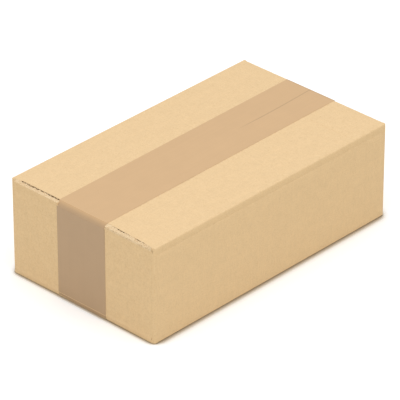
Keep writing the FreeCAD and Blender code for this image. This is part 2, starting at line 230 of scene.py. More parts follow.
def crush_the_cut(vert, place, side, reach):
    """Moves a point of the cut: the ragged lip, the upper flute's mouth below it, the front
    flap's lower flute, the shoulder between them, or the cut's lower edge."""
    x, y, z = place
    wave = noise.noise(Vector((side * 3, y / ripple, 0)))
    wave += 0.6 * noise.noise(Vector((side * 5, y / fine_ripple, 7)))
    recess = lip_recess[side] * max(0.0, 0.5 + 0.6 * wave)
    if z > liner_bottom - snug:
        droop = noise.noise(Vector((side * 11, y / droop_ripple, 3)))
        vert.co.x -= side * recess
        vert.co.z -= lip_droop * max(0.0, 0.4 + droop)
    elif z > upper_flute:
        gap, drop = opened(-side * y), liner_bottom - z
        shut = max(0.0, 1 - gap)
        closing = shut_overlap * shut * min(1.0, drop / (0.2 * mm))
        vert.co.z = liner_bottom - drop * mouth_share * gap + closing
        vert.co.x += side * (mouth_shift * min(1.0, gap) - shut * (recess + snug))
    elif y < 0 and flap_bottom + 0.2 * mm < z < lower_flute_top:
        vert.co.z = lower_flute + lower_flute_rise + (z - lower_flute) * lower_flute_share
        vert.co.x = side * max(abs(x), reach - (0.2 - 0.1 * wave) * mm)
    elif z > flap_bottom + 0.5 * mm:
        past_the_tape = min(1.0, max(0.0, (side * y - 28 * mm) / (12 * mm)))
        folded = min(past_the_tape, max(0.0, (slot - abs(y)) / (4 * mm)))
        vert.co.x = side * max(abs(x), reach - (0.1 + 0.6 * folded - 0.1 * wave) * mm)
        vert.co.z = box_height - shoulder_drop + (0.1 * folded + 0.08 * wave) * mm
    else:
        vert.co.x = side * max(abs(x), reach - 0.03 * mm)
        vert.co.z = flap_bottom - 0.2 * mm


def wear_the_top(sheet):
    """The knife leaves the top flaps' ends uneven. Folding crushes them down over the short
    panels' folds, so their flutes show only as a thin broken crack."""
    for vert in sheet.verts:
        place = vert.co.copy()
        side = math.copysign(1, place.x)
        low, high = under_the_tape[side]
        if place.z < flap_bottom - 1.8 * mm or low < place.y < high:
            continue
        reach = half_length - corner_sag(place.y)
        press_out_the_corner(vert, place, side, reach)
        press_out_the_fold(vert, place, side, reach)
        on_the_cut = any(is_cut_end(f) and abs(f.normal.x) > 0.9 for f in vert.link_faces)
        if on_the_cut and abs(place.y) <= slot - 0.1 * mm:
            crush_the_cut(vert, place, side, reach)


def close_the_base(sheet):
    """The base flaps' ends are pressed out flush with the short panels, so no step shows there."""
    flush = 0.01 * mm
    for vert in sheet.verts:
        x, y, z = vert.co
        side = math.copysign(1, x)
        low, high = under_the_tape[side]
        at_an_end = z < 4.52 * mm and abs(x) > half_length - corner_radius - 0.6 * mm
        if not at_an_end or low < y < high or not looks_out(vert, side):
            continue
        reach = half_length - corner_sag(y)
        if abs(y) < half_width - corner_radius + 0.25 * mm:
            vert.co.x = side * (reach - flush)
            if board - 0.05 * mm < z < board + 0.25 * mm:
                vert.co.z = board + (0.12 * mm if z > board + 0.1 * mm else 0.08 * mm)
        elif abs(x) < reach - 0.3 * mm:
            vert.co.x += side * (end_step - flush)
        if z < end_step:
            rounding = math.sqrt(max(0.0, end_step ** 2 - (end_step - z) ** 2))
            vert.co.x -= side * (end_step - rounding)


def mark_the_sheet(sheet):
    """Marks what the relief and the materials go by: the points that lie flat on the outside,
    the raw cut, the inside of the flutes that stand open, and the way the grain runs."""
    flat = sheet.verts.layers.float.new("flat")
    raw = sheet.faces.layers.bool.new("raw_edge")
    inside = sheet.faces.layers.bool["flute_inside"]
    grain = sheet.loops.layers.uv.new("grain")
    for vert in sheet.verts:
        square = [max(abs(c) for c in f.normal) > 0.996 and is_outside(f) for f in vert.link_faces]
        vert[flat] = 1.0 if square and all(square) else 0.0
    for face in sheet.faces:
        centre = face.calc_center_median()
        # Only the flutes that stand open get the medium, whose dark colour is partly painted shade.
        open_there = opened(-math.copysign(1, centre.x) * centre.y) > 0.2
        face[inside] = face[inside] and open_there
        below_the_crack = centre.y > 0 and centre.z < upper_flute
        in_the_corner = abs(centre.y) > slot - 0.3 * mm
        on_the_top = is_cut_end(face) and centre.z > board
        face[raw] = on_the_top and not below_the_crack and not in_the_corner
        for loop in face.loops:
            x, y, z = loop.vert.co
            if abs(face.normal.x) > 0.7:
                loop[grain].uv = (y, z + half_length - abs(x))
            else:
                loop[grain].uv = (x, z + half_width - abs(y))


def make_carton():
    """A copy of the carton's shape, cut fine enough on its outside to follow the board's relief."""
    sheet = sheet_of("carton")
    inside = sheet.faces.layers.bool.new("flute_inside")
    for face in sheet.faces:
        face[inside] = is_cut_end(face) and abs(face.normal.x) < 0.9
    flute_step = flute_pitch / 4
    along = steps(-half_length, half_length, flute_step) + [crush_place + c for c in crush_cuts]
    across = steps(-half_width, half_width, flute_step)
    upward = steps(fold_radius, box_height - fold_radius, 6 * mm)
    upward += [box_height - score_drop + c for c in score_cuts]
    for test, direction, places in (
        (is_outside, x_axis, along),
        (is_outside, y_axis, across),
        (is_outside, z_axis, upward),
        (is_top_end, y_axis, steps(-half_width, half_width, 0.8 * mm)),
        (is_cut_end, z_axis, [flap_bottom + 1.3 * mm]),
        (is_base_end, z_axis, [0.15 * mm, 0.3 * mm, end_step]),
    ):
        cut_faces(sheet, [face for face in sheet.faces if test(face)], direction, sorted(places))
    wear_the_top(sheet)
    close_the_base(sheet)
    mark_the_sheet(sheet)
    return as_piece(sheet, "carton_sheet")


def linear(colour):
    """A hex sRGB colour as linear red, green, blue and an alpha of one."""
    shares = [int(colour[i:i + 2], 16) / 255 for i in (1, 3, 5)]
    return [s / 12.92 if s <= 0.04045 else ((s + 0.055) / 1.055) ** 2.4 for s in shares] + [1.0]


def add_node(tree, kind, settings=None, inputs=None):
    """A node with its settings, and its inputs given as values or as another node's output."""
    node = tree.nodes.new(kind)
    for name, value in (settings or {}).items():
        setattr(node, name, value)
    for name, value in (inputs or {}).items():
        if isinstance(value, bpy.types.NodeSocket):
            tree.links.new(value, node.inputs[name])
        else:
            node.inputs[name].default_value = value
    return node


def blank_material(name):
    """A material with an empty node tree, and that tree."""
    material = bpy.data.materials.new(name)
    material.use_nodes = True
    material.node_tree.nodes.clear()
    return material, material.node_tree


def blank_geometry(name, sizes):
    """A geometry tree with a named input for each size, and its inputs to link from."""
    tree = bpy.data.node_groups.new(name, "GeometryNodeTree")
    tree.is_modifier = True
    tree.interface.new_socket("Geometry", in_out="INPUT", socket_type="NodeSocketGeometry")
    tree.interface.new_socket("Geometry", in_out="OUTPUT", socket_type="NodeSocketGeometry")
    for size in sizes:
        tree.interface.new_socket(size, in_out="INPUT", socket_type="NodeSocketFloat")
    return tree, add_node(tree, "NodeGroupInput").outputs


# Kraft liner: unbleached softwood paper, machine-finished and left bare. It gives the eye a dull
# light brown with a fine speckle of fibres, soft cloudy patches from the paper's formation, and
# faint streaks the way the web ran. The speckle is drawn about 1 mm coarse, and the single
# fibres 0.25 mm thick and 3 mm long, so that they show: real fibres are far finer. The lowest
# millimetre is painted darker towards the floor: painted shade for the dark line along the box's
# foot.
liner_colour = "#ebcb9c"
speckle_light = "#efd0a4"
speckle_dark = "#e5c394"
fibre_dark = "#cfa671"
speckle_size = 1.1 * mm
cloud_size = 9 * mm
streak_width = 1.6 * mm
streak_length = 70 * mm
blotch_width = 1.9 * mm
blotch_length = 4.5 * mm
flute_shade = 0.004
fibre_length = 3 * mm
fibre_width = 0.25 * mm
fibre_turns = (0.35, 1.4, 2.5)
painted_foot_height = 1.4 * mm
painted_foot_darkness = 0.72


def kraft_liner():
    """The liner's colour, with its patterns laid one over another as shades of it, and painted
    shade along its foot.
    """
    material, tree = blank_material("kraft_liner")
    place = add_node(tree, "ShaderNodeTexCoord")
    web = add_node(tree, "ShaderNodeUVMap", {"uv_map": "grain"})
    speckle = add_node(tree, "ShaderNodeTexNoise", inputs={
        "Vector": place.outputs["Object"], "Scale": 1 / speckle_size, "Detail": 2.0,
        "Roughness": 0.6,
    })
    cloud = add_node(tree, "ShaderNodeTexNoise", inputs={
        "Vector": place.outputs["Object"], "Scale": 1 / cloud_size, "Detail": 3.0,
        "Roughness": 0.55,
    })
    stretch = add_node(tree, "ShaderNodeMapping", inputs={
        "Vector": web.outputs["UV"], "Scale": (1 / streak_length, 1 / streak_width, 1.0),
    })
    streak = add_node(tree, "ShaderNodeTexNoise", inputs={
        "Vector": stretch.outputs["Vector"], "Scale": 1.0, "Detail": 2.0,
    })
    light_spots = add_node(tree, "ShaderNodeMapRange", inputs={
        "Value": speckle.outputs["Fac"], "From Min": 0.45, "From Max": 0.75,
    })
    dark_spots = add_node(tree, "ShaderNodeMapRange", inputs={
        "Value": speckle.outputs["Fac"], "From Min": 0.52, "From Max": 0.25,
    })
    paper = add_node(tree, "ShaderNodeMix", {"data_type": "RGBA"}, {
        "Factor": light_spots.outputs["Result"], 6: linear(liner_colour), 7: linear(speckle_light),
    })
    paper = add_node(tree, "ShaderNodeMix", {"data_type": "RGBA"}, {
        "Factor": dark_spots.outputs["Result"], 6: paper.outputs[2], 7: linear(speckle_dark),
    })
    cloudy = add_node(tree, "ShaderNodeMapRange", inputs={
        "Value": cloud.outputs["Fac"], "From Min": 0.25, "From Max": 0.75,
        "To Min": 0.972, "To Max": 1.02,
    })
    streaky = add_node(tree, "ShaderNodeMapRange", inputs={
        "Value": streak.outputs["Fac"], "From Min": 0.25, "From Max": 0.75,
        "To Min": 0.988, "To Max": 1.012,
    })
    blot = add_node(tree, "ShaderNodeMapping", inputs={
        "Vector": web.outputs["UV"], "Scale": (1 / blotch_width, 1 / blotch_length, 1.0),
    })
    blotch = add_node(tree, "ShaderNodeTexNoise", inputs={
        "Vector": blot.outputs["Vector"], "Scale": 1.0, "Detail": 1.0,
    })
    blotchy = add_node(tree, "ShaderNodeMapRange", inputs={
        "Value": blotch.outputs["Fac"], "From Min": 0.25, "From Max": 0.75,
        "To Min": 0.975, "To Max": 1.025,
    })
    across = add_node(tree, "ShaderNodeSeparateXYZ", inputs={0: web.outputs["UV"]})
    turns = add_node(tree, "ShaderNodeMath", {"operation": "MULTIPLY"}, {
        0: across.outputs["X"], 1: math.tau / flute_pitch,
    })
    wave = add_node(tree, "ShaderNodeMath", {"operation": "COSINE"}, {0: turns.outputs[0]})
    fluted = add_node(tree, "ShaderNodeMath", {"operation": "MULTIPLY_ADD"}, {
        0: wave.outputs[0], 1: -flute_shade, 2: 1.0,
    })
    shade = add_node(tree, "ShaderNodeMath", {"operation": "MULTIPLY"}, {
        0: cloudy.outputs["Result"], 1: streaky.outputs["Result"],
    })
    shade = add_node(tree, "ShaderNodeMath", {"operation": "MULTIPLY"}, {
        0: shade.outputs[0], 1: blotchy.outputs["Result"],
    })
    shade = add_node(tree, "ShaderNodeMath", {"operation": "MULTIPLY"}, {
        0: shade.outputs[0], 1: fluted.outputs[0],
    })
    low = add_node(tree, "ShaderNodeSeparateXYZ", inputs={0: place.outputs["Object"]})
    # Painted shade: the foot is darkened towards the floor, for the dark line where the box meets
    # it.
    painted_foot_shade = add_node(tree, "ShaderNodeMapRange", {"interpolation_type": "SMOOTHSTEP"}, {
        "Value": low.outputs["Z"], "From Min": 0.1 * mm, "From Max": painted_foot_height,
        "To Min": painted_foot_darkness, "To Max": 1.0,
    })
    shade = add_node(tree, "ShaderNodeMath", {"operation": "MULTIPLY"}, {
        0: shade.outputs[0], 1: painted_foot_shade.outputs["Result"],
    })
    paper = add_node(tree, "ShaderNodeVectorMath", {"operation": "SCALE"}, {
        0: paper.outputs[2], "Scale": shade.outputs[0],
    })
    colour = paper.outputs["Vector"]
    for turn in fibre_turns:
        lie = add_node(tree, "ShaderNodeMapping", inputs={
            "Vector": web.outputs["UV"], "Rotation": (0, 0, turn),
            "Scale": (1 / fibre_length, 1 / fibre_width, 1.0), "Location": (turn * 7, turn * 3, 0),
        })
        strand = add_node(tree, "ShaderNodeTexNoise", inputs={
            "Vector": lie.outputs["Vector"], "Scale": 0.5, "Detail": 1.0,
        })
        sparse = add_node(tree, "ShaderNodeMapRange", inputs={
            "Value": strand.outputs["Fac"], "From Min": 0.70, "From Max": 0.76,
            "To Min": 0.0, "To Max": 0.3,
        })
        fibre = add_node(tree, "ShaderNodeMix", {"data_type": "RGBA"}, {
            "Factor": sparse.outputs["Result"], 6: colour, 7: linear(fibre_dark),
        })
        colour = fibre.outputs[2]
    bump = add_node(tree, "ShaderNodeBump", inputs={
        "Strength": 0.25, "Distance": 0.05 * mm, "Height": speckle.outputs["Fac"],
    })
    rough = add_node(tree, "ShaderNodeMapRange", inputs={
        "Value": speckle.outputs["Fac"], "From Min": 0.3, "From Max": 0.7,
        "To Min": 0.78, "To Max": 0.9,
    })
    shader = add_node(tree, "ShaderNodeBsdfPrincipled", inputs={
        "Base Color": colour, "Roughness": rough.outputs["Result"], "IOR": 1.4,
        "Normal": bump.outputs["Normal"],
    })
    add_node(tree, "ShaderNodeOutputMaterial", inputs={"Surface": shader.outputs["BSDF"]})
    return material


# Raw cut board: the same kraft fibre where the knife tore through it, unpressed. It is painted a
# paler, fuzzier brown than the liner, with darker flecks where its layers are crushed: the pale
# tone is partly the raw fibre's own and partly a painted highlight for the light its ledge catches.
raw_dark = "#cba475"
raw_pale_highlit = "#f2d9b2"
fuzz_size = 0.7 * mm


def raw_board():
    material, tree = blank_material("raw_cut_board")
    place = add_node(tree, "ShaderNodeTexCoord")
    fuzz = add_node(tree, "ShaderNodeTexNoise", inputs={
        "Vector": place.outputs["Object"], "Scale": 1 / fuzz_size, "Detail": 3.0,
        "Roughness": 0.65,
    })
    colour = add_node(tree, "ShaderNodeValToRGB", inputs={"Fac": fuzz.outputs["Fac"]})
    ramp = colour.color_ramp
    ramp.elements[0].position, ramp.elements[0].color = 0.3, linear(raw_dark)
    # Partly a painted highlight: the pale end is lighter than the raw fibre alone, for the lit
    # ledge.
    ramp.elements[1].position, ramp.elements[1].color = 0.6, linear(raw_pale_highlit)
    bump = add_node(tree, "ShaderNodeBump", inputs={
        "Strength": 0.5, "Distance": 0.1 * mm, "Height": fuzz.outputs["Fac"],
    })
    shader = add_node(tree, "ShaderNodeBsdfPrincipled", inputs={
        "Base Color": colour.outputs["Color"], "Roughness": 0.95, "IOR": 1.4,
        "Normal": bump.outputs["Normal"],
    })
    add_node(tree, "ShaderNodeOutputMaterial", inputs={"Surface": shader.outputs["BSDF"]})
    return material


# Fluting medium: the thin recycled paper that is corrugated between the liners. Unbleached and
# never pressed, it is browner than the liner. Down inside the open flutes it is painted a dull
# dark brown, partly its own tone and partly painted shade for the crack's deep recess.
medium_shaded_dark = "#7d5f3c"
medium_shaded_light = "#a5845a"
pulp_size = 0.9 * mm


def shaded_fluting_medium():
    material, tree = blank_material("shaded_fluting_medium")
    place = add_node(tree, "ShaderNodeTexCoord")
    pulp = add_node(tree, "ShaderNodeTexNoise", inputs={
        "Vector": place.outputs["Object"], "Scale": 1 / pulp_size, "Detail": 2.0,
    })
    colour = add_node(tree, "ShaderNodeMix", {"data_type": "RGBA"}, {
        "Factor": pulp.outputs["Fac"], 6: linear(medium_shaded_dark), 7: linear(medium_shaded_light),
    })
    shader = add_node(tree, "ShaderNodeBsdfPrincipled", inputs={
        "Base Color": colour.outputs[2], "Roughness": 0.95, "IOR": 1.4,
    })
    add_node(tree, "ShaderNodeOutputMaterial", inputs={"Surface": shader.outputs["BSDF"]})
    return material


# How far apart the rises and hollows of the board's slow unevenness lie.
warp_size = 28 * mm


def board_relief(paper, raw, medium):
    """The board's relief as a tree: the flutes' washboard, its unevenness, the crease and the
    crush line. It gives each kind of face its material."""
    sizes = {
        "Flute Pitch": flute_pitch, "Flute Relief": 0.045 * mm, "Unevenness": 0.12 * mm,
        "Score Level": box_height - score_drop, "Score Depth": 0.26 * mm, "Score Width": 1.3 * mm,
        "Crush Place": crush_place, "Crush Depth": 0.3 * mm, "Crush Width": 0.8 * mm,
        "Crush Low": crush_reach[0], "Crush High": crush_reach[1],
    }
    tree, given = blank_geometry("board_relief", sizes)
    flat = add_node(tree, "GeometryNodeInputNamedAttribute", {"data_type": "FLOAT"}, {
        "Name": "flat",
    })
    cut = add_node(tree, "GeometryNodeInputNamedAttribute", {"data_type": "BOOLEAN"}, {
        "Name": "raw_edge",
    })
    place = add_node(tree, "GeometryNodeInputPosition")
    at = add_node(tree, "ShaderNodeSeparateXYZ", inputs={0: place.outputs[0]})
    outward = add_node(tree, "GeometryNodeInputNormal")
    facing = add_node(tree, "ShaderNodeSeparateXYZ", inputs={0: outward.outputs[0]})
    end = add_node(tree, "ShaderNodeMath", {"operation": "ABSOLUTE"}, {0: facing.outputs["X"]})
    side = add_node(tree, "ShaderNodeMath", {"operation": "ABSOLUTE"}, {0: facing.outputs["Y"]})
    along = add_node(tree, "ShaderNodeMix", {"data_type": "FLOAT"}, {
        0: end.outputs[0], 2: at.outputs["X"], 3: at.outputs["Y"],
    })
    turns = add_node(tree, "ShaderNodeMath", {"operation": "DIVIDE"}, {
        0: along.outputs[0], 1: given["Flute Pitch"],
    })
    angle = add_node(tree, "ShaderNodeMath", {"operation": "MULTIPLY"}, {
        0: turns.outputs[0], 1: math.tau,
    })
    wave = add_node(tree, "ShaderNodeMath", {"operation": "COSINE"}, {0: angle.outputs[0]})
    washboard = add_node(tree, "ShaderNodeMapRange", inputs={
        "Value": wave.outputs[0], "From Min": -1.0, "From Max": 1.0,
        "To Min": 0.0, "To Max": given["Flute Relief"],
    })
    cloud = add_node(tree, "ShaderNodeTexNoise", inputs={
        "Vector": place.outputs[0], "Scale": 1 / warp_size, "Detail": 1.0,
    })
    hollow = add_node(tree, "ShaderNodeMath", {"operation": "MULTIPLY_ADD"}, {
        0: cloud.outputs["Fac"], 1: given["Unevenness"], 2: washboard.outputs["Result"],
    })
    off_score = add_node(tree, "ShaderNodeMath", {"operation": "SUBTRACT"}, {
        0: at.outputs["Z"], 1: given["Score Level"],
    })
    off_score = add_node(tree, "ShaderNodeMath", {"operation": "ABSOLUTE"}, {
        0: off_score.outputs[0],
    })
    score = add_node(tree, "ShaderNodeMapRange", {"interpolation_type": "SMOOTHSTEP"}, {
        "Value": off_score.outputs[0], "From Min": 0.0, "From Max": given["Score Width"],
        "To Min": given["Score Depth"], "To Max": 0.0,
    })
    hollow = add_node(tree, "ShaderNodeMath", {"operation": "MULTIPLY_ADD"}, {
        0: score.outputs["Result"], 1: side.outputs[0], 2: hollow.outputs[0],
    })
    off_crush = add_node(tree, "ShaderNodeMath", {"operation": "SUBTRACT"}, {
        0: at.outputs["X"], 1: given["Crush Place"],
    })
    off_crush = add_node(tree, "ShaderNodeMath", {"operation": "ABSOLUTE"}, {
        0: off_crush.outputs[0],
    })
    crush = add_node(tree, "ShaderNodeMapRange", {"interpolation_type": "SMOOTHSTEP"}, {
        "Value": off_crush.outputs[0], "From Min": 0.0, "From Max": given["Crush Width"],
        "To Min": given["Crush Depth"], "To Max": 0.0,
    })
    past_low = add_node(tree, "ShaderNodeMath", {"operation": "GREATER_THAN"}, {
        0: at.outputs["Y"], 1: given["Crush Low"],
    })
    before_high = add_node(tree, "ShaderNodeMath", {"operation": "LESS_THAN"}, {
        0: at.outputs["Y"], 1: given["Crush High"],
    })
    within = add_node(tree, "ShaderNodeMath", {"operation": "MULTIPLY"}, {
        0: past_low.outputs[0], 1: before_high.outputs[0],
    })
    on_top = add_node(tree, "ShaderNodeMath", {"operation": "GREATER_THAN"}, {
        0: facing.outputs["Z"], 1: 0.7,
    })
    within = add_node(tree, "ShaderNodeMath", {"operation": "MULTIPLY"}, {
        0: within.outputs[0], 1: on_top.outputs[0],
    })
    hollow = add_node(tree, "ShaderNodeMath", {"operation": "MULTIPLY_ADD"}, {
        0: crush.outputs["Result"], 1: within.outputs[0], 2: hollow.outputs[0],
    })
    inward = add_node(tree, "ShaderNodeMath", {"operation": "MULTIPLY"}, {
        0: hollow.outputs[0], 1: flat.outputs["Attribute"],
    })
    inward = add_node(tree, "ShaderNodeMath", {"operation": "MULTIPLY"}, {
        0: inward.outputs[0], 1: -1.0,
    })
    move = add_node(tree, "ShaderNodeVectorMath", {"operation": "SCALE"}, {
        0: outward.outputs[0], "Scale": inward.outputs[0],
    })
    pressed = add_node(tree, "GeometryNodeSetPosition", inputs={
        "Geometry": given["Geometry"], "Offset": move.outputs["Vector"],
    })
    whole = add_node(tree, "GeometryNodeRealizeInstances", inputs={
        "Geometry": pressed.outputs["Geometry"],
    })
    papered = add_node(tree, "GeometryNodeSetMaterial", inputs={
        "Geometry": whole.outputs["Geometry"], "Material": paper,
    })
    trimmed = add_node(tree, "GeometryNodeSetMaterial", inputs={
        "Geometry": papered.outputs["Geometry"], "Selection": cut.outputs["Attribute"],
        "Material": raw,
    })
    inner = add_node(tree, "GeometryNodeInputNamedAttribute", {"data_type": "BOOLEAN"}, {
        "Name": "flute_inside",
    })
    fluted = add_node(tree, "GeometryNodeSetMaterial", inputs={
        "Geometry": trimmed.outputs["Geometry"], "Selection": inner.outputs["Attribute"],
        "Material": medium,
    })
    add_node(tree, "NodeGroupOutput", inputs={0: fluted.outputs["Geometry"]})
    return tree, sizes


def apply_tree(piece, tree, sizes):
    """Runs the tree on the piece with its sizes, and makes the result the piece's plain mesh."""
    modifier = piece.modifiers.new(tree.name, "NODES")
    modifier.node_group = tree
    for socket in tree.interface.items_tree:
        if socket.in_out == "INPUT" and socket.name in sizes:
            modifier[socket.identifier] = sizes[socket.name]
    result = piece.evaluated_get(bpy.context.evaluated_depsgraph_get())
    mesh = bpy.data.meshes.new_from_object(result)
    piece.modifiers.clear()
    piece.data = mesh


def lip_points(piece, side):
    """The points of the top liner's lower edge along the cut, clear of the tape and corners."""
    low, high = under_the_tape[side]
    edge = []
    for vert in piece.data.vertices:
        x, y, z = vert.co
        at_the_end = x * side > half_length - 8 * mm and abs(x) < half_length - 0.2 * mm
        on_the_lip = liner_bottom - lip_droop * 1.5 < z < liner_bottom + 0.01 * mm
        covered = low - mm < y < high + mm or abs(y) >= half_width - corner_radius
        if at_the_end and on_the_lip and not covered:
            edge.append(vert.co + Vector((side * 0.25 * mm, 0, -0.3 * mm)))
    return edge


cut_board = raw_board()
carton = make_carton()
torn_roots = lip_points(carton, -1) + lip_points(carton, 1)
apply_tree(carton, *board_relief(kraft_liner(), cut_board, shaded_fluting_medium()))
smooth(carton.data)
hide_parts("carton")
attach(carton, "root")


# Torn fibres: where the knife and the fold tear the liner, little tabs of paper stand out of the
# crack along the flaps' cut ends. They are the same sheet, lifted and never cut quite off.
def torn_fibre_tree(raw):
    """Small bent tabs set on the lips' points, each turned and sized by chance."""
    sizes = {
        "Tab Length": 0.9 * mm, "Tab Width": 0.6 * mm, "Tab Thickness": 0.12 * mm, "Share": 0.4,
    }
    tree, given = blank_geometry("torn_fibres", sizes)
    size = add_node(tree, "ShaderNodeCombineXYZ", inputs={
        "X": given["Tab Width"], "Y": given["Tab Length"], "Z": given["Tab Thickness"],
    })
    tab = add_node(tree, "GeometryNodeMeshCube", inputs={"Size": size.outputs[0], "Vertices Y": 3})
    place = add_node(tree, "GeometryNodeInputPosition")
    at = add_node(tree, "ShaderNodeSeparateXYZ", inputs={0: place.outputs[0]})
    share = add_node(tree, "ShaderNodeMath", {"operation": "DIVIDE"}, {
        0: at.outputs["Y"], 1: given["Tab Length"],
    })
    bow = add_node(tree, "ShaderNodeMath", {"operation": "MULTIPLY"}, {
        0: share.outputs[0], 1: share.outputs[0],
    })
    lift = add_node(tree, "ShaderNodeMath", {"operation": "MULTIPLY"}, {
        0: bow.outputs[0], 1: given["Tab Width"],
    })
    bend = add_node(tree, "ShaderNodeCombineXYZ", inputs={"Z": lift.outputs[0]})
    bent = add_node(tree, "GeometryNodeSetPosition", inputs={
        "Geometry": tab.outputs["Mesh"], "Offset": bend.outputs[0],
    })
    picked = add_node(tree, "FunctionNodeRandomValue", {"data_type": "BOOLEAN"}, {
        "Probability": given["Share"], "Seed": 4,
    })
    turned = add_node(tree, "FunctionNodeRandomValue", {"data_type": "FLOAT_VECTOR"}, {
        0: (-0.5, -0.7, -0.8), 1: (0.5, 0.3, 0.8), "Seed": 7,
    })
    grown = add_node(tree, "FunctionNodeRandomValue", {"data_type": "FLOAT_VECTOR"}, {
        0: (0.5, 0.5, 0.8), 1: (1.2, 1.1, 1.2), "Seed": 9,
    })
    torn = add_node(tree, "GeometryNodeInstanceOnPoints", inputs={
        "Points": given["Geometry"], "Selection": picked.outputs[3],
        "Instance": bent.outputs["Geometry"],
        "Rotation": turned.outputs[0], "Scale": grown.outputs[0],
    })
    whole = add_node(tree, "GeometryNodeRealizeInstances", inputs={
        "Geometry": torn.outputs["Instances"],
    })
    papered = add_node(tree, "GeometryNodeSetMaterial", inputs={
        "Geometry": whole.outputs["Geometry"], "Material": raw,
    })
    add_node(tree, "NodeGroupOutput", inputs={0: papered.outputs["Geometry"]})
    return tree, sizes


roots_mesh = bpy.data.meshes.new("torn_fibres")
roots_mesh.from_pydata(torn_roots, [], [])
fibres = bpy.data.objects.new("torn_fibres", roots_mesh)
bpy.context.collection.objects.link(fibres)
apply_tree(fibres, *torn_fibre_tree(cut_board))
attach(fibres, "root")

# The tape: one strip of brown polypropylene packing tape with a clear gloss, 49 mm wide and
# 0.06 mm thick. It is stuck over the top seam, down both ends and under the base, where its cut
# end laps over its start.
tape_sides = (-25 * mm, 28 * mm)
seam_straight = 1.5 * mm
seam_bend_from = 68 * mm
seam_bend_to = half_length - 5 * mm
seam_bend = 1.7 * mm
seam_bend_power = 1.5
seam_dip = 0.05 * mm
seam_halfwidth = 0.8 * mm
seam_shows = (38 * mm, 66 * mm)


def seam_line(x):
    """Where the film creases over the flaps' seam: straight, then swinging out to the far end."""
    past = max(0.0, x - seam_bend_from) / (seam_bend_to - seam_bend_from)
    return seam_straight + seam_bend * past ** seam_bend_power


def make_tape():
    """A copy of the tape's shape, cut finely at the seam and pressed in a little along it."""
    film = sheet_of("sealing_tape")
    cut_faces(film, film.faces[:], x_axis, steps(-half_length, half_length, flute_pitch / 2))
    cut_faces(film, film.faces[:], z_axis, steps(fold_radius, box_height - fold_radius, 5 * mm))
    across = steps(seam_straight - 1.5 * mm, seam_straight + seam_bend + 1.5 * mm, 0.25 * mm)
    before = steps(tape_sides[0], across[0], 3.3 * mm)
    behind = steps(across[-1], tape_sides[1], 3.3 * mm)
    cut_faces(film, film.faces[:], y_axis, sorted(across + before + behind))
    low, high = seam_shows
    for vert in film.verts:
        x, y, z = vert.co
        if z < box_height - 1.0 * mm:
            continue
        strength = min(1.0, max(0.0, (x - low) / (high - low)))
        strength *= min(1.0, max(0.0, (half_length - 3 * mm - x) / (6 * mm)))
        off = (y - seam_line(x)) / seam_halfwidth
        vert.co.z -= seam_dip * strength * math.exp(-off * off)
    return as_piece(film, "tape_strip")


# Brown polypropylene film on acrylic glue: cast, pulled thin and wound, so it is smooth and
# shines a little. Over board it gives the eye an even tan with a faint lengthwise streak from
# the roll and slight clouding where the glue hasn't wetted the paper. On the upright ends the
# film is painted darker and greyer: painted shade for the duller light that falls there.
film_colour = "#d6b082"
film_shaded_end_colour = "#bc9c78"
film_clouds = 14 * mm
film_streak_length = 90 * mm
film_streak_width = 2.5 * mm
# How much darker the film is painted along the seam: painted shade for the flaps' gap under it.
painted_seam_shade = 0.2


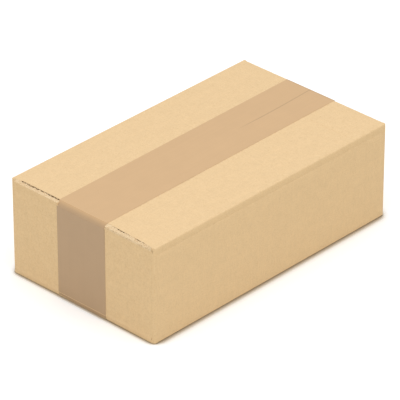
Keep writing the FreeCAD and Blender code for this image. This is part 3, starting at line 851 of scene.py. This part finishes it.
def tape_material():
    material, tree = blank_material("brown_polypropylene_film")
    place = add_node(tree, "ShaderNodeTexCoord")
    at = add_node(tree, "ShaderNodeSeparateXYZ", inputs={0: place.outputs["Object"]})
    reach = add_node(tree, "ShaderNodeMath", {"operation": "ABSOLUTE"}, {0: at.outputs["X"]})
    # Painted shade: towards the upright ends the film takes its darker, greyer colour.
    shaded_end = add_node(tree, "ShaderNodeMapRange", {"interpolation_type": "SMOOTHSTEP"}, {
        "Value": reach.outputs[0], "From Min": half_length - 3.5 * mm,
        "From Max": half_length - 0.3 * mm,
    })
    cloud = add_node(tree, "ShaderNodeTexNoise", inputs={
        "Vector": place.outputs["Object"], "Scale": 1 / film_clouds, "Detail": 2.0,
    })
    stretch = add_node(tree, "ShaderNodeMapping", inputs={
        "Vector": place.outputs["Object"],
        "Scale": (1 / film_streak_length, 1 / film_streak_width, 1 / film_streak_length),
    })
    streak = add_node(tree, "ShaderNodeTexNoise", inputs={
        "Vector": stretch.outputs["Vector"], "Scale": 1.0, "Detail": 1.0,
    })
    clouding = add_node(tree, "ShaderNodeMapRange", inputs={
        "Value": cloud.outputs["Fac"], "From Min": 0.25, "From Max": 0.75,
        "To Min": 0.985, "To Max": 1.015,
    })
    streaking = add_node(tree, "ShaderNodeMapRange", inputs={
        "Value": streak.outputs["Fac"], "From Min": 0.25, "From Max": 0.75,
        "To Min": 0.99, "To Max": 1.01,
    })
    shade = add_node(tree, "ShaderNodeMath", {"operation": "MULTIPLY"}, {
        0: clouding.outputs["Result"], 1: streaking.outputs["Result"],
    })
    # Painted shade: a thin darker line where the flaps' gap lies under the film, fading in towards
    # the far end.
    bent = add_node(tree, "ShaderNodeMapRange", inputs={
        "Value": at.outputs["X"], "From Min": seam_bend_from, "From Max": seam_bend_to,
    })
    bent = add_node(tree, "ShaderNodeMath", {"operation": "POWER"}, {
        0: bent.outputs["Result"], 1: seam_bend_power,
    })
    line = add_node(tree, "ShaderNodeMath", {"operation": "MULTIPLY_ADD"}, {
        0: bent.outputs[0], 1: seam_bend, 2: seam_straight,
    })
    off_line = add_node(tree, "ShaderNodeMath", {"operation": "SUBTRACT"}, {
        0: at.outputs["Y"], 1: line.outputs[0],
    })
    off_line = add_node(tree, "ShaderNodeMath", {"operation": "ABSOLUTE"}, {0: off_line.outputs[0]})
    creased = add_node(tree, "ShaderNodeMapRange", {"interpolation_type": "SMOOTHSTEP"}, {
        "Value": off_line.outputs[0], "From Min": 0.15 * mm, "From Max": seam_halfwidth,
        "To Min": 1.0, "To Max": 0.0,
    })
    fades = add_node(tree, "ShaderNodeMapRange", {"interpolation_type": "SMOOTHSTEP"}, {
        "Value": at.outputs["X"], "From Min": seam_shows[0], "From Max": seam_shows[1],
    })
    on_top = add_node(tree, "ShaderNodeMath", {"operation": "GREATER_THAN"}, {
        0: at.outputs["Z"], 1: box_height - 0.3 * mm,
    })
    creased = add_node(tree, "ShaderNodeMath", {"operation": "MULTIPLY"}, {
        0: creased.outputs["Result"], 1: fades.outputs["Result"],
    })
    creased = add_node(tree, "ShaderNodeMath", {"operation": "MULTIPLY"}, {
        0: creased.outputs[0], 1: on_top.outputs[0],
    })
    crease = add_node(tree, "ShaderNodeMath", {"operation": "MULTIPLY_ADD"}, {
        0: creased.outputs[0], 1: -painted_seam_shade, 2: 1.0,
    })
    shade = add_node(tree, "ShaderNodeMath", {"operation": "MULTIPLY"}, {
        0: shade.outputs[0], 1: crease.outputs[0],
    })
    film = add_node(tree, "ShaderNodeMix", {"data_type": "RGBA"}, {
        "Factor": shaded_end.outputs["Result"], 6: linear(film_colour), 7: linear(film_shaded_end_colour),
    })
    colour = add_node(tree, "ShaderNodeVectorMath", {"operation": "SCALE"}, {
        0: film.outputs[2], "Scale": shade.outputs[0],
    })
    bump = add_node(tree, "ShaderNodeBump", inputs={
        "Strength": 0.15, "Distance": 0.05 * mm, "Height": streak.outputs["Fac"],
    })
    shader = add_node(tree, "ShaderNodeBsdfPrincipled", inputs={
        "Base Color": colour.outputs["Vector"], "Roughness": 0.38, "IOR": 1.49,
        "Normal": bump.outputs["Normal"],
    })
    add_node(tree, "ShaderNodeOutputMaterial", inputs={"Surface": shader.outputs["BSDF"]})
    return material


tape = make_tape()
smooth(tape.data)
tape.data.materials.clear()
tape.data.materials.append(tape_material())
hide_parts("sealing_tape")
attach(tape, "root")

# The floor: a plain white sheet that the box stands on. The camera sees it white, and it keeps
# the box's shadow.
half_floor = 4.0
bounce_colour = (0.80, 0.775, 0.70, 1)
corner_signs = ((-1, -1), (1, -1), (1, 1), (-1, 1))
floor_mesh = bpy.data.meshes.new("floor")
floor_mesh.from_pydata(
    [(sx * half_floor, sy * half_floor, 0) for sx, sy in corner_signs], [], [(0, 1, 2, 3)]
)
floor = bpy.data.objects.new("floor", floor_mesh)
bpy.context.collection.objects.link(floor)


# The floor's painted contact shadow: how far from the box the darkening starts, and the colour
# painted at each share of open sky over a place.
contact_reach = 9 * mm
contact_shades = (
    (0.53, "#9c8b74"), (0.66, "#c7beb0"), (0.76, "#eae9e5"), (0.88, "#f6f8fa"), (1.0, "#ffffff"),
)


def floor_paint():
    """White to the camera, with a painted shadow close to the box, and a plain warm grey to bounced
    light.
    """
    material, tree = blank_material("white_floor")
    path = add_node(tree, "ShaderNodeLightPath")
    seen = add_node(tree, "ShaderNodeMath", {"operation": "MAXIMUM"}, {
        0: path.outputs["Is Camera Ray"], 1: path.outputs["Is Glossy Ray"],
    })
    seen = add_node(tree, "ShaderNodeMath", {"operation": "MAXIMUM"}, {
        0: seen.outputs[0], 1: path.outputs["Is Transmission Ray"],
    })
    place = add_node(tree, "ShaderNodeNewGeometry")
    at = add_node(tree, "ShaderNodeSeparateXYZ", inputs={0: place.outputs["Position"]})
    reach = add_node(tree, "ShaderNodeMapRange", {"interpolation_type": "SMOOTHSTEP"}, {
        "Value": at.outputs["X"], "From Min": -half_length - 2 * mm,
        "From Max": -half_length + 8 * mm,
        "To Min": 0.62 * contact_reach, "To Max": contact_reach,
    })
    near = add_node(tree, "ShaderNodeAmbientOcclusion", {"samples": 16}, {
        "Distance": reach.outputs["Result"],
    })
    contact = add_node(tree, "ShaderNodeValToRGB", inputs={"Fac": near.outputs["AO"]})
    ramp = contact.color_ramp
    for element, (position, shade) in zip(ramp.elements, (contact_shades[0], contact_shades[-1])):
        element.position, element.color = position, linear(shade)
    for position, shade in contact_shades[1:-1]:
        ramp.elements.new(position).color = linear(shade)
    bounce = add_node(tree, "ShaderNodeBsdfDiffuse", inputs={"Color": bounce_colour})
    paint = add_node(tree, "ShaderNodeBsdfDiffuse", inputs={"Color": contact.outputs["Color"]})
    glow = add_node(tree, "ShaderNodeEmission", inputs={
        "Color": contact.outputs["Color"], "Strength": 0.18,
    })
    white = add_node(tree, "ShaderNodeAddShader", inputs={0: paint.outputs[0], 1: glow.outputs[0]})
    both = add_node(tree, "ShaderNodeMixShader", inputs={
        0: seen.outputs[0], 1: bounce.outputs[0], 2: white.outputs[0],
    })
    add_node(tree, "ShaderNodeOutputMaterial", inputs={"Surface": both.outputs[0]})
    return material


floor_mesh.materials.append(floor_paint())

# The light: an even white room, and a soft lamp over the box.
world = bpy.data.worlds.new("studio")
bpy.context.scene.world = world
world.use_nodes = True
world.node_tree.nodes.clear()
sky = add_node(world.node_tree, "ShaderNodeBackground", inputs={
    "Color": (1, 1, 1, 1), "Strength": 0.75,
})
add_node(world.node_tree, "ShaderNodeOutputWorld", inputs={"Surface": sky.outputs[0]})

overhead = bpy.data.lights.new("overhead", "AREA")
overhead.shape = "SQUARE"
overhead.size = 1.6
overhead.energy = 10.4
lamp = bpy.data.objects.new("overhead", overhead)
lamp.location = (-0.3, -0.4, 1.6)
bpy.context.collection.objects.link(lamp)

# The camera: set to the photograph's view, 400 by 400, as fitted to the box's edges.
focal_px = 3608.16
image_px = 400
azimuth, elevation = math.radians(-46.5299), math.radians(30.6496)
sideways, upward, distance = 0.9551 * mm, -32.4444 * mm, 2744.32 * mm
back = Vector((
    math.sin(azimuth) * math.cos(elevation),
    -math.cos(azimuth) * math.cos(elevation),
    math.sin(elevation),
))
right = Vector((0, 0, 1)).cross(back).normalized()
up = back.cross(right)
camera = bpy.data.cameras.new("camera")
camera.sensor_width = 36
camera.lens = focal_px / image_px * camera.sensor_width
camera.clip_end = 20
viewer = bpy.data.objects.new("camera", camera)
axes = Matrix((right, up, back)).transposed()
place = axes @ Vector((-sideways, -upward, distance))
viewer.matrix_world = Matrix.Translation(place) @ axes.to_4x4()
bpy.context.collection.objects.link(viewer)
bpy.context.scene.camera = viewer
bpy.context.scene.view_settings.view_transform = "Standard"
